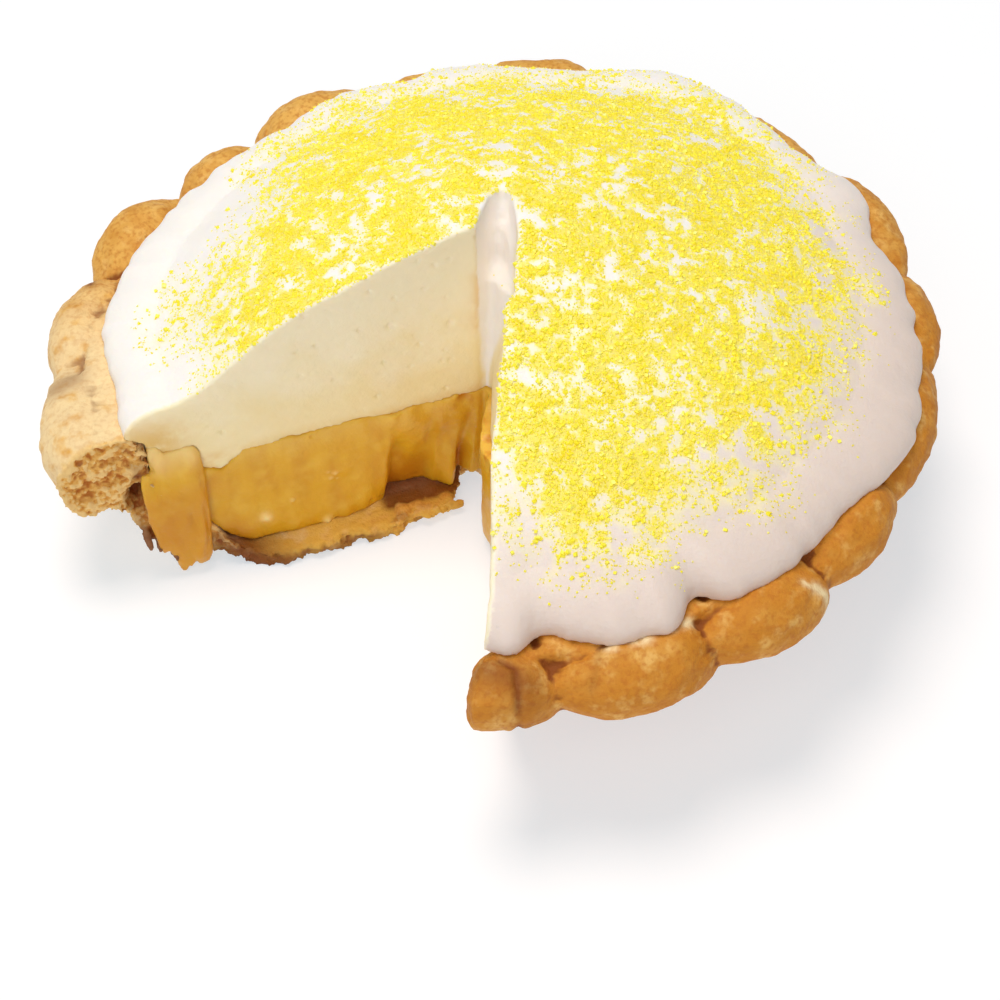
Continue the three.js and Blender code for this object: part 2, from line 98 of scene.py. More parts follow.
def noise(points, size, seed):
    """Unevenness from -1 to 1, in lumps about one size across."""
    place = np.asarray(points, float) / size
    cell = np.floor(place)
    share = place - cell
    share = share * share * (3 - 2 * share)
    total = 0
    for corner in itertools.product((0, 1), repeat=3):
        weight = np.prod(np.where(corner, share, 1 - share), axis=-1)
        total = total + weight * scattered(cell + corner, seed)
    return total * 2 - 1


def rough(points, size, seed):
    """Unevenness with two finer layers on it."""
    return sum(noise(points, size / 2 ** i, seed + i) / 2 ** i for i in range(3)) / 1.75


def to_nearest_spot(points, size, seed):
    """How far each point is from the nearest of many random spots, in sizes."""
    place = np.asarray(points, float) / size
    cell = np.floor(place)
    nearest = np.full(len(place), 9.0)
    for step in itertools.product((-1, 0, 1), repeat=3):
        home = cell + step
        spot = home + np.stack([scattered(home, seed + i) for i in range(3)], -1)
        nearest = np.minimum(nearest, np.linalg.norm(place - spot, axis=1))
    return nearest


# %% [markdown]
# ## Rings of points
# Every body here is a row of rings, closed at both ends: a lobe of the rim is rings along its length,
# and a turned body is rings from under its middle to the top of it. Bodies that belong together go into
# one mesh and a voxel remesh welds them, which leaves a real fold where they meet. Modelling the folds
# by hand would take longer and look neater than dough does.

# %% Rings of points
def walls_of(rings, first):
    """The faces between rings of points, and the numbers of the points, counted from the first."""
    at = first + np.arange(rings[..., 0].size).reshape(rings.shape[:2])
    on = np.roll(at, -1, axis=1)
    return np.stack([at[:-1], on[:-1], on[1:], at[1:]], -1).reshape(-1, 4).tolist(), at.tolist()


def ringed(start, rings, end):
    """Points and faces of a closed body: rings of points between two end points."""
    walls, at = walls_of(rings, 2)
    for tip, ring, step in ((0, at[0], 1), (1, at[-1], -1)):
        walls += [[tip, b, a][::step] for a, b in zip(ring, ring[1:] + ring[:1])]
    return np.vstack([start, end, rings.reshape(-1, 3)]), walls


def capped(rings):
    """A body that ends in the middle of its first ring and of its last ring."""
    return ringed(rings[0].mean(axis=0), rings, rings[-1].mean(axis=0))


def turned(outline, azimuths):
    """A body turned round Z. Each point of the outline is (radius, height, degrees further round)."""
    columns = [np.stack([np.broadcast_to(v, azimuths.shape) for v in point]) for point in outline]
    radius, height, further = np.stack(columns, 1)
    angle = np.radians(azimuths + further)
    rings = stacked(radius * np.cos(angle), radius * np.sin(angle), height)
    return ringed(rings[0, 0], rings[1:-1], rings[-1, 0])


def placed(name, data):
    """A new object in the scene."""
    thing = bpy.data.objects.new(name, data)
    bpy.context.scene.collection.objects.link(thing)
    return thing


def piece_of(name, *bodies):
    """One object from bodies given in millimetres, with its faces turned outwards."""
    points, faces, first = [], [], 0
    for body_points, body_faces in bodies:
        points.append(body_points)
        faces += [[corner + first for corner in face] for face in body_faces]
        first += len(body_points)
    mesh = bpy.data.meshes.new(name)
    mesh.from_pydata((np.vstack(points) * MM).tolist(), [], faces)
    shape = bmesh.new()
    shape.from_mesh(mesh)
    if shape.calc_volume(signed=True) < 0:
        bmesh.ops.reverse_faces(shape, faces=shape.faces)
    shape.to_mesh(mesh)
    shape.free()
    return placed(name, mesh)


def keep_modifier(piece, kind, **settings):
    """Puts a modifier on a piece and keeps its result as the mesh."""
    modifier = piece.modifiers.new(kind, kind)
    for setting, value in settings.items():
        setattr(modifier, setting, value)
    bpy.context.view_layer.update()
    result = piece.evaluated_get(bpy.context.evaluated_depsgraph_get())
    piece.data = bpy.data.meshes.new_from_object(result)
    piece.modifiers.clear()
    return piece


def fused(piece, voxel):
    return keep_modifier(piece, "REMESH", mode="VOXEL", voxel_size=voxel * MM)


def cut_away(piece, cutter):
    """Takes the cutter's space away from a piece, and then the cutter itself."""
    keep_modifier(piece, "BOOLEAN", operation="DIFFERENCE", solver="MANIFOLD", object=cutter)
    bpy.data.objects.remove(cutter)


def drop_scraps(piece):
    """Keeps the largest connected part of a piece, without the scraps that a cut leaves beside it."""
    shape = bmesh.new()
    shape.from_mesh(piece.data)
    parts, waiting = [], set(shape.verts)
    while waiting:
        part = [waiting.pop()]
        for point in part:
            beside = {edge.other_vert(point) for edge in point.link_edges} & waiting
            waiting -= beside
            part += beside
        parts.append(part)
    parts.sort(key=len)
    bmesh.ops.delete(shape, geom=list(itertools.chain(*parts[:-1])), context="VERTS")
    shape.to_mesh(piece.data)
    shape.free()
    print(piece.name, "has", len(piece.data.vertices), "points, without", len(parts) - 1, "scraps")


# %% [markdown]
# ## Moving points
# Sculpting by hand can't be repeated, so the fine relief is a sum: a function says how far each point
# stands out, and the point moves that far along its normal. Whole arrays move at once, because a loop
# over a few hundred thousand points would take minutes.

# %% Moving points
def read(items, name):
    values = np.empty(len(items) * 3)
    items.foreach_get(name, values)
    return values.reshape(-1, 3)


def points_of(piece):
    return read(piece.data.vertices, "co") / MM


def normals_of(piece):
    return read(piece.data.vertex_normals, "vector")


def azimuth_of(points):
    return np.degrees(np.arctan2(points[:, 1], points[:, 0]))


def put_points(piece, points):
    """Moves the points of a piece, and none of them below the floor."""
    points[:, 2] = np.maximum(points[:, 2], 0)
    piece.data.vertices.foreach_set("co", (points * MM).ravel())
    piece.data.update()


def raise_skin(piece, height):
    """Moves each point along its normal by height(points)."""
    points = points_of(piece)
    put_points(piece, points + normals_of(piece) * height(points)[:, None])


def lightened(piece, most):
    """Takes faces away where the surface is plain, down to a number of triangles."""
    triangles = sum(len(face.vertices) - 2 for face in piece.data.polygons)
    if triangles > most:
        keep_modifier(piece, "DECIMATE", ratio=most / triangles, use_collapse_triangulate=True)
    put_points(piece, points_of(piece))


def mark(piece, name, values):
    """Keeps a value for each point of the mesh, for the material to read."""
    layer = piece.data.attributes.new(name, "FLOAT", "POINT")
    layer.data.foreach_set("value", np.clip(values, 0, 1).astype(np.float32))


def hollowness(piece, rounds):
    """How deep each point lies below its smoothed surroundings, in millimetres."""
    ends = np.empty(len(piece.data.edges) * 2, np.int64)
    piece.data.edges.foreach_get("vertices", ends)
    a, b = ends.reshape(-1, 2).T
    points = points_of(piece)
    count = np.bincount(np.concatenate([a, b]), minlength=len(points))[:, None]
    smooth = points
    for _ in range(rounds):
        total = np.stack([
            np.bincount(a, smooth[b, axis], len(points)) + np.bincount(b, smooth[a, axis], len(points))
            for axis in range(3)
        ], -1)
        smooth = total / count
    return np.sum((smooth - points) * normals_of(piece), axis=1)


# %% [markdown]
# ## The missing slice
# A slice was cut and lifted out, and each layer parted in its own way: the topping was cut clean, the
# soft filling smeared, and the crust tore and left a ragged ledge. One closed space stands for the
# slice, every layer gets its own copy with its own two faces, and a boolean takes it away.

# %% The missing slice
APEX = np.array([-1.66, -3.32])
LEFT_CUT, RIGHT_CUT = 199, 270
BEYOND_RIM = 165


def on_cut(azimuth, side, out, into, z):
    """Places on a cut face: out from the apex, into the empty slice, and up."""
    cos, sin = math.cos(math.radians(azimuth)), math.sin(math.radians(azimuth))
    x = APEX[0] + out * cos - side * into * sin
    y = APEX[1] + out * sin + side * into * cos
    return stacked(x, y, z)


def on_left(out, into, z):
    return on_cut(LEFT_CUT, 1, out, into, z)


def on_right(out, into, z):
    return on_cut(RIGHT_CUT, -1, out, into, z)


def from_cut(points, azimuth, side):
    """The other way round: how far out, into the slice and up each point is."""
    cos, sin = math.cos(math.radians(azimuth)), math.sin(math.radians(azimuth))
    x, y = points[:, 0] - APEX[0], points[:, 1] - APEX[1]
    return x * cos + y * sin, side * (y * cos - x * sin), points[:, 2]


def from_left(points):
    return from_cut(points, LEFT_CUT, 1)


def slice_space(left, right, tip, step):
    """The missing slice as a closed body. left(out, z) and right(out, z) are a layer's two faces."""
    heights = np.concatenate([[-6], np.arange(-1, 108, step), [125]])[:, None]
    torn = np.ones_like(heights)
    torn[[0, -1]] = 0
    out = np.arange(step, 128, step)[None, :]
    flat = np.zeros_like(heights)
    sides = [
        on_left(out, torn * left(out, heights), heights),
        on_left(BEYOND_RIM, flat, heights),
        on_cut((LEFT_CUT + RIGHT_CUT) / 2, 1, BEYOND_RIM, flat, heights),
        on_right(BEYOND_RIM, flat, heights),
        on_right(out, torn * right(out, heights), heights)[:, ::-1],
        tip(heights),
    ]
    rings = np.concatenate(sides, axis=1)
    walls, at = walls_of(rings, 0)
    return rings.reshape(-1, 3), [*walls, at[0][::-1], at[-1]]


# %% [markdown]
# ## The crust's main sizes
# The shell is a flat bottom with a flaring wall. On its rim lies a rope: pinched lobes of dough, each
# folded over the start of the next. No two are alike, so a short list gives the azimuth where each
# begins and how far it reaches out. Beside the left cut the rope has slumped a little.

# %% The crust's main sizes
BASE_RADIUS, WALL_FLARE, WALL_HEIGHT, WALL_THICKNESS, BOTTOM_THICKNESS = 78, 27, 34, 6, 4.5
BASE_ROUNDING = 3
ROPE_RADIUS, ROPE_THICKNESS = 115, 20
RIM_INSIDE_RADIUS, RIM_INSIDE_RISE = 97.5, 13
SLUMP_WIDTH, SLUMP = 18, 7
LOBES = [(11.4, 12.5), (33.5, 9.5), (52, 9.5), (71, 11.5), (90.4, 8), (106.3, 11.5), (127.5, 6.5),
         (143.1, 10.8), (162.7, 10.2), (181.2, 10.2), (201, 10), (222, 10), (244, 10), (260, 9.3),
         (277.7, 11.5), (297, 11.2), (314.5, 8.5), (331.1, 8.7), (353.6, 10.1)]


def rope_height(azimuth):
    """The rope's middle: the rim came out of the oven higher on the right."""
    return 48.6 + 5.1 * np.cos(np.radians(azimuth))


def slumped(azimuth):
    return 1 - ease(np.abs(azimuth % 360 - LEFT_CUT), 3, SLUMP_WIDTH)


def under_rope(azimuth):
    return rope_height(azimuth) - 0.75 * ROPE_THICKNESS - SLUMP * slumped(azimuth)


def crease_depth(azimuth):
    """At the back on the left the creases between the lobes sink in below the topping's edge."""
    return between(azimuth % 360, 95, 125, 160, 176)


def wall_inside(z):
    return BASE_RADIUS + WALL_FLARE * (z / WALL_HEIGHT) ** 0.95 - WALL_THICKNESS


def wall_outside(z, azimuth):
    bulge = SLUMP * slumped(azimuth) * np.sin(math.pi * z / WALL_HEIGHT)
    return wall_inside(z) + WALL_THICKNESS + bulge


# %% [markdown]
# ## The shell and its rope
# A lobe is a short fat sausage bent round the rim. It starts thin, tucked under the lobe before it,
# and rides up over the next one at its blunt end. The shell carries a slimmer rope, so that no lobe
# hangs in the air.

# %% The shell and its rope
CORE_THICKNESS = 11


def hollow_of_shell(azimuth):
    """The inside of the shell, from the bottom up to the rim."""
    corner = BOTTOM_THICKNESS + BASE_ROUNDING
    shoulder = under_rope(azimuth) * 0.6
    rises = [blend(corner, shoulder, share) for share in np.linspace(0, 1, 12)]
    return [
        (wall_inside(BOTTOM_THICKNESS) - BASE_ROUNDING, BOTTOM_THICKNESS, 0),
        *[(wall_inside(z), z, 0) for z in rises],
        (RIM_INSIDE_RADIUS, rope_height(azimuth) - 8, 0),
    ]


def shell():
    azimuth = np.arange(0, 360, 0.75)
    height = rope_height(azimuth)
    half = CORE_THICKNESS / 2
    outline = [(0, 0, 0), (BASE_RADIUS - BASE_ROUNDING, 0, 0)]
    for share in np.linspace(0, 1, 16):
        z = blend(BASE_ROUNDING, under_rope(azimuth), share)
        outline.append((wall_outside(z, azimuth), z, 0))
    low = 5 * crease_depth(azimuth)
    for degrees in range(-60, 120, 15):
        up = math.sin(math.radians(degrees))
        hang = min(up, 0) * SLUMP * slumped(azimuth)
        outline.append((ROPE_RADIUS + 3 - half + half * math.cos(math.radians(degrees)) - low,
                        height + half * up + hang - low, 0))
    outline += [
        (RIM_INSIDE_RADIUS + 13, height + RIM_INSIDE_RISE * 0.72 - low, 0),
        (RIM_INSIDE_RADIUS + 5, height + RIM_INSIDE_RISE * 0.77, 0),
        (RIM_INSIDE_RADIUS, height + RIM_INSIDE_RISE * 0.75 - 3, 0),
        *hollow_of_shell(azimuth)[::-1],
        (0, BOTTOM_THICKNESS, 0),
    ]
    return turned(outline, azimuth)


def lobe(start, end, reach, seed):
    tucked, lapping = -0.07, 1.09
    share = blend(tucked, lapping, (1 - np.cos(np.linspace(0.12, math.pi - 0.12, 44))) / 2)[:, None]
    along = (share - tucked) / (lapping - tucked)
    full = np.sqrt(1 - (2 * along ** 1.25 - 1) ** 2)
    half = ROPE_THICKNESS / 2 * np.sqrt(full) * blend(0.8, 1.0, ease(share, 0, 0.5))
    azimuth = blend(start, end, share)
    low = crease_depth(azimuth) * (1 - full)
    turn = np.radians(np.arange(0, 360, 10))[None, :]
    up, outwards = np.sin(turn), np.cos(turn)
    wide = half * np.where(outwards < 0, 1.4, 1)
    radius = ROPE_RADIUS + (reach - 0.9) * full - half - 6 * low + wide * outwards
    hang = np.minimum(up, 0) * SLUMP * slumped(azimuth)
    height = rope_height(azimuth) + half * up + hang + 2.2 * (share - 0.5) - 7 * low
    angle = np.radians(azimuth - 1.8 * up)
    rings = stacked(radius * np.cos(angle), radius * np.sin(angle), height)
    rings += 0.7 * noise(rings, 11, seed)[..., None]
    return capped(rings)


ends = [start for start, _ in LOBES[1:]] + [LOBES[0][0] + 360]
lobes = [lobe(start, end, reach, 20 + i) for i, ((start, reach), end) in enumerate(zip(LOBES, ends))]
whole_crust = fused(piece_of("whole_crust", shell(), *lobes), voxel=0.8)

# %% [markdown]
# ## Where the crust broke
# On the left the bottom stayed behind in a ragged ledge, and the rim tore open round a cavity, which the
# pastry's colour darkens with painted shade. On the right the rope ends in a rounded stump. These are
# functions of the place on the cut face, so they can say later which points lie on the break.

# %% Where the crust broke
CAVITY = (99, 30)


def crust_left(out, z):
    ledge = through([(4, -6), (14, 8), (40, 10), (60, 11), (72, 7), (80, 3), (91, 1.2), (99, 0)], out)
    place = stacked(out, z, 0)
    ragged = 1.5 * noise(place, 4, 1) + 0.8 * noise(place, 1.7, 2)
    cavity = 8 * near(out - CAVITY[0], 2.6) * near(z - CAVITY[1], 5.5)
    return ledge + ragged - cavity


def crust_right(out, z):
    reach = through([(8, -8), (60, -5), (96, -3)], out)
    from_middle = np.hypot(out - 113, z - rope_height(RIGHT_CUT)) / 11
    stump = 6.6 * np.sqrt(np.maximum(1 - from_middle ** 2, 0)) * ease(out, 88, 98)
    place = stacked(out, z, 0)
    return reach + stump + 0.5 * noise(place, 5, 3)


def flake(start, end, half_width, half_depth, seed):
    """A thin layer of crust that still hangs on, from its root to its ragged point."""
    share = np.linspace(0.02, 0.98, 24)[:, None]
    turn = np.radians(np.arange(0, 360, 20))[None, :]
    ragged = noise(stacked(share * 6, share * 6, share * 6), 1, seed)
    width = half_width * (1 - share) ** 0.7 * (1 + 0.35 * ragged)
    out, into, z = (blend(a, b, share) for a, b in zip(start, end))
    down = abs(start[2] - end[2]) > 4
    side, thick = width * np.cos(turn), half_depth * np.sin(turn)
    if down:
        return capped(on_left(out + side, into + thick, z))
    return capped(on_left(out + 0.3 * side, into + side, z + thick))


def plain_tip(heights):
    return stacked(APEX[0], APEX[1] + 1, heights)


crust = placed("crust_baked", whole_crust.data.copy())
cut_away(crust, piece_of("crust_space", slice_space(crust_left, crust_right, plain_tip, 1)))
FLAKES = [((29, 6, 4.4), (8.5, 7.6, 3.0), 4.8, 1.3), ((100, -3, 24), (98.3, 4.2, 12.5), 2.4, 0.7),
          ((97, -3, 21), (95.8, 4.6, 11), 1.8, 0.6), ((93.5, -2, 16), (91.8, 6, 7), 2.2, 0.6),
          ((90, 0, 12), (89.2, 5.6, 4.5), 1.5, 0.5)]
flakes = piece_of("flakes", *(flake(*sizes, 90 + i) for i, sizes in enumerate(FLAKES)))
keep_modifier(crust, "BOOLEAN", operation="UNION", solver="EXACT", object=flakes)
bpy.data.objects.remove(flakes)
fused(crust, voxel=0.6)
drop_scraps(crust)

# %% [markdown]
# ## The pastry's skin
# Baked pastry is lumpy, finely wrinkled along each lobe, and blistered. Where it broke it is flaky:
# thin layers that follow the rope's round section. The relief of the break is therefore noise that is
# long along the layers and short across them, with pits sunk into it.

# %% The pastry's skin
def on_break(points):
    """1 on the broken left face of the crust and 0 away from it."""
    out, into, z = from_left(points)
    return (1 - ease(np.abs(into - crust_left(out, z)), 0.9, 2.2)) * (out > 2)


def round_the_rope(points):
    """Coordinates of the rope: along the rim, round the rope's section and out from its middle."""
    azimuth = azimuth_of(points)
    across = np.hypot(points[:, 0], points[:, 1]) - (ROPE_RADIUS - 2)
    up = points[:, 2] - rope_height(azimuth)
    from_middle = np.hypot(across, up)
    return stacked(np.radians(azimuth) * ROPE_RADIUS, np.arctan2(up, across) * 10, from_middle)


FOLDS = [([(271.5, 111.7), (273.3, 114.3), (273.4, 121.7)], 0.9, 1.0),
         ([(284.8, 109.5), (283.3, 114.3), (282.1, 120.3)], 0.5, 1.2),
         ([(275.9, 104.5), (276.2, 106.5)], 1.6, 1.6), ([(298.8, 104), (299.4, 107)], 1.6, 1.8)]
TORN_PITS = [(97.3, 57.3, 1.5, 3.0), (95.4, 50.8, 1.4, 3.0), (95.6, 45.5, 1.3, 2.4), (98.5, 38.8, 1.2, 2.2)]


def rim_place(points):
    """Millimetres along the rim, and the radius."""
    azimuth = azimuth_of(points) % 360
    return stacked(np.radians(azimuth) * ROPE_RADIUS, np.hypot(points[:, 0], points[:, 1]))


def to_line(places, line):
    """How far each place is from a line through a few (azimuth, radius) places."""
    line = np.array(line) * [math.radians(ROPE_RADIUS), 1]
    nearest = np.full(len(places), 99.0)
    for a, b in zip(line[:-1], line[1:]):
        share = np.clip((places - a) @ (b - a) / ((b - a) @ (b - a)), 0, 1)
        nearest = np.minimum(nearest, np.linalg.norm(places - a - share[:, None] * (b - a), axis=1))
    return nearest


def folded(points):
    """How far the folds and dimples that can be seen on the rope sink in."""
    places = rim_place(points)
    above = ease(points[:, 2], 36, 44)
    return above * sum(depth * near(to_line(places, line), width) for line, depth, width in FOLDS)


def spots(points, places):
    """Round spots on the left cut face, from a list of (out, up, width, height)."""
    out, into, z = from_left(points)
    return sum(height * near(np.hypot(out - at, z - up), wide) for at, up, wide, height in places)


def pastry_relief(points):
    rope = round_the_rope(points)
    azimuth = azimuth_of(points) % 360
    floured = between(azimuth, 155, 172, 205, 220)
    wrinkles = rough(rope * [0.35, 1.3, 0.2], 2.6, 31)
    across = rough(rope * [1, 0.3, 0.2], 2.4, 39)
    lumps = 0.5 * noise(points, 9, 32) + 0.28 * noise(points, 3.5, 33) + 0.15 * noise(points, 1.6, 30)
    blisters = 0.3 * ease(0.42 - to_nearest_spot(points, 7, 34), 0, 0.3)
    skin = blend(0.36 * wrinkles, 0.55 * across, floured) + lumps + blisters - folded(points)
    layers = rough(rope * [0.5, 0.45, 1.6], 3, 35)
    crumbs = ease(0.62 - to_nearest_spot(points, 1.3, 36), 0, 0.5)
    gaps = ease(noise(points, 2, 38), 0.25, 0.8)
    flaky = 0.7 * layers + 0.6 * crumbs - 0.55 * gaps + 0.25 * noise(points, 1.0, 37) - 0.3
    return blend(skin, flaky - spots(points, TORN_PITS), on_break(points))


raise_skin(crust, pastry_relief)
lightened(crust, most=190000)
crust_points = points_of(crust)
crust_azimuth = azimuth_of(crust_points) % 360
smears = [[(311.3, 118.5), (313.3, 122.4)], [(304, 106.5), (309.5, 109)], [(293, 112.5), (296, 112)],
          [(285, 112.5), (290, 113.5)]]
rim_places = rim_place(crust_points)
smeared = sum(near(to_line(rim_places, line), 1.3) for line in smears)
out, into, z = from_left(crust_points)
ledge = ease(into, -2, 0.5) * (1 - ease(z, 4.8, 7)) * (1 - ease(out, 84, 94)) * (out > 2)
# painted shade low in the corner at the foot of the cut face
corner = near(out - 74, 12) * ease(into, -2, 1) * (1 - ease(z, 5, 14))
flaked = ease(into, 2.5, 4) * ease(z, 4.6, 5) * (out < 31)
shade_under_scoop = between(into, -16, -12, 3, 5.5) * between(z, 3.4, 4.2, 6, 8) * between(out, 4, 8, 29, 33)
shade_in_cavity = near(out - CAVITY[0], 2.6) * near(z - CAVITY[1], 6) * ease(-into, -1, 1)
outer_edge = ease(into - crust_left(out, z), -2.4, -0.6) * (1 - ease(z, 2.5, 5)) * ease(out, 30, 36)
shaded_torn_foot = ease(into, -1, 1) * between(out, 84, 88, 100, 104) * (1 - ease(z, 16, 26))
torn = on_break(crust_points)
mark(crust, "broken", torn * (1 - 0.6 * ledge))
# painted shade: the front and right of the crust are darker, on the side away from the light
mark(crust, "away_side_shade", 0.45 + 0.55 * ease(np.cos(np.radians(crust_azimuth - 300)), -0.6, 0.8))
# how deep each point lies, for painted shade in creases and hollows and a painted highlight on raised
# crumbs
mark(crust, "hollow", 0.5 + hollowness(crust, 12) * 0.75)
mark(crust, "pale", 0.75 * between(crust_azimuth, 160, 184, 202, 216) + smeared)
darker_crumb = torn * (1 - ease(out, 99, 107)) * ease(noise(crust_points, 2.6, 59), 0, 0.5)
# painted shade in the folds, dimples and pits of the break, plus darker crumbs on the break and two darker
# places by the rope's cut ends
mark(crust, "shade_and_dark_spots", 0.6 * folded(crust_points)
     + 0.5 * spots(crust_points, TORN_PITS) + 0.5 * darker_crumb
     + 0.6 * near(to_line(rim_places, [(186, 114), (186.8, 118)]), 4)
     + 0.7 * near(to_line(rim_places, [(269.5, 114), (274.5, 118)]), 4.5))
mark(crust, "amber", ledge * (1 - 0.8 * flaked))
# painted shade: the corner mark darkens the low corner, the cavity, the crust under the scoop and the torn
# foot, and also the ledge's lower outer edge
deep = shade_in_cavity + shade_under_scoop * (1 - flaked)
mark(crust, "corner", corner + shaded_torn_foot + 0.6 * outer_edge + 1.2 * deep)

# %% [markdown]
# ## The lemon filling
# The filling is one soft body, turned round Z a hair's breadth inside the shell. Its cut face sags at
# the foot and is scooped out beside the apex round one standing tongue. A second tongue was drawn down
# over the crust on the left. Strips of their own, welded on, are simpler than a face with overhangs.

# %% The lemon filling
CLEARANCE = 0.15
FILLING_HEIGHT, FILLING_RIM_HEIGHT = 40, 49
DIP_RADIUS, DIP = 78, 6.5


def filling_body():
    azimuth = np.arange(0, 360, 1.5)
    inside = [(r - CLEARANCE, z + CLEARANCE, 0) for r, z, _ in hollow_of_shell(azimuth)]
    rim = RIM_INSIDE_RADIUS - CLEARANCE
    top = [(rim, FILLING_RIM_HEIGHT, 0), (rim - 2, FILLING_RIM_HEIGHT, 0), (rim - 5, FILLING_HEIGHT + 5, 0),
           (rim - 8, FILLING_HEIGHT - 1, 0), (DIP_RADIUS, FILLING_HEIGHT - DIP, 0)]
    for radius in np.arange(DIP_RADIUS - 7, 4, -3):
        wave = 0.8 * noise(stacked(np.radians(azimuth) * radius, radius, 0), 13, 41)
        top.append((radius, FILLING_HEIGHT - 0.6 + wave, 0))
    return turned([(0, BOTTOM_THICKNESS + CLEARANCE, 0), *inside, *top, (0, FILLING_HEIGHT, 0)], azimuth)


def filling_left(out, z):
    low = 1 - ease(z, 6, 38)
    slanting = out + 0.12 * (z - 20)
    scoop = through([(2, -2), (5, -6), (8, -2), (13, -2), (16, -5), (26, -5.5), (29, 0)], slanting)
    sag = 3 * (1 - ease(z, 5, 19)) * ease(out, 30, 40) * (1 - 0.5 * ease(out, 68, 80))
    place = stacked(out, z, 0)
    drag = (0.35 + 0.6 * (1 - ease(out, 26, 34))) * noise(place * [1, 0.3, 1], 3, 43)
    sag = sag + 4.5 * near(out - 10.5, 3) * (1 - ease(z, 2, 17))
    return scoop * blend(0.15, 1, low) + sag + 0.6 * noise(place, 11, 42) + drag


def filling_right(out, z):
    bulge = through([(0, -1.5), (10, 0.4), (20, 0.6), (31, -2.3), (45, -4), (66, -2.4)], out)
    place = stacked(out, z, 0)
    return bulge + 0.5 * noise(place, 9, 44)


def hanging(top, foot, half_width, half_depth, seed):
    """A soft flat strip on the left cut, from its top to its dripping foot."""
    share = np.linspace(0.02, 0.98, 50)[:, None]
    turn = np.radians(np.arange(0, 360, 8))[None, :]
    side = np.sign(np.cos(turn)) * np.abs(np.cos(turn)) ** 0.75
    thick = np.sign(np.sin(turn)) * np.abs(np.sin(turn)) ** 0.8
    out, into, z = (blend(low, high, share) for low, high in zip(foot, top))
    down = stacked(share * 5, side, 0)
    full = np.sin(math.pi * share) ** 0.18
    width = half_width * full * (1 + 0.22 * noise(down, 1.2, seed))
    drips = 4 * noise(stacked(side * 4, 0, 0), 1.3, seed + 1)
    z = z - (drips + 1) * (1 - share) ** 4
    return capped(on_left(out + width * side, into + half_depth * full * thick, z))


whole_filling = piece_of("whole_filling", filling_body())
filling = placed("filling_lemon", whole_filling.data.copy())
cut_away(filling, piece_of("filling_space", slice_space(filling_left, filling_right, plain_tip, 1)))
tongue = hanging((87.5, -0.3, 47), (87, 4.6, 5), 7.4, 1.8, 48)
smear = hanging((94.5, 0.2, 40), (92.5, 3.6, 12), 3.8, 1.3, 50)
strip = piece_of("strip", tongue, smear)
keep_modifier(filling, "BOOLEAN", operation="UNION", solver="EXACT", use_self=True, object=strip)
fused(filling, voxel=0.6)
drop_scraps(filling)

CRUMBS = [(48, 5.1, 1.3, 1.0), (65.2, 11.6, 1.5, 1.2), (57, 15, 0.7, 0.6), (44.2, 21.5, 0.8, 0.6),
          (45.4, 19.6, 0.7, 0.5), (46.2, 22.4, 0.5, 0.4), (43.6, 18.8, 0.5, 0.4), (34.3, 43, 0.6, 0.4)]


def crumbs_on(points):
    """Crumbs that can be seen on the cut face."""
    return (from_left(points)[1] > -2.5) * spots(points, CRUMBS)


def on_tongue(out, into):
    return ease(out, 79, 82) * ease(into, -2, 0)


def filling_relief(points):
    out, into, z = from_left(points)
    drag = noise(stacked(out, into, z * 0.3), 2.2, 45)
    bubbles = 1 - ease(to_nearest_spot(points, 11, 46), 0.04, 0.11)
    torn_skin = on_tongue(out, into) * (0.7 * rough(points * [1, 1, 0.35], 2.6, 49) + 0.4 * drag)
    return 0.22 * drag + 0.25 * noise(points, 6, 47) - 0.5 * bubbles + crumbs_on(points) + torn_skin


raise_skin(filling, filling_relief)
lightened(filling, most=100000)
filling_points = points_of(filling)
out, into, z = from_left(filling_points)
tongues = on_tongue(out, into)
bitten = ease(noise(filling_points, 2.4, 58), 0.1, 0.5) * ease(z, 33, 38) * ease(into, -4, -2)
bitten *= between(out, 2, 4, 9, 16)
shaded_recess = ease(-into, 2.2, 6) * (1 - ease(z, 8, 26)) * (1 - ease(out, 27, 31))
# painted shade low in the corner, where the crust wall curves in
corner = near(out - 75, 8) * (1 - ease(z, 4, 20)) * (1 - ease(into, 3.5, 5))
# deep: painted shade in the recess, in the low corner and on the lower tongue, and darker patches near the
# top by the apex
mark(filling, "deep", shaded_recess + 0.85 * corner + 0.9 * bitten + 0.5 * tongues * (1 - ease(z, 26, 40)))
mark(filling, "pale", crumbs_on(filling_points) * 1.2 + 0.8 * tongues * ease(z, 36, 47))
mark(filling, "creamy", ease(z, 30, 40) * ease(into, -3, -1) * (1 - ease(out, 70, 86)))
mark(filling, "hollow", 0.5 + hollowness(filling, 12) * 0.9)

# %% [markdown]
# ## The white topping
# The topping is a tall dome of whipped white. It lies over the rope in a soft lip with a wavy edge, it
# sank beside the left cut, and behind the apex it is gouged back in a notch. Two profiles from the
# middle to the edge, blended by azimuth, give the dome, and a list gives the edge.

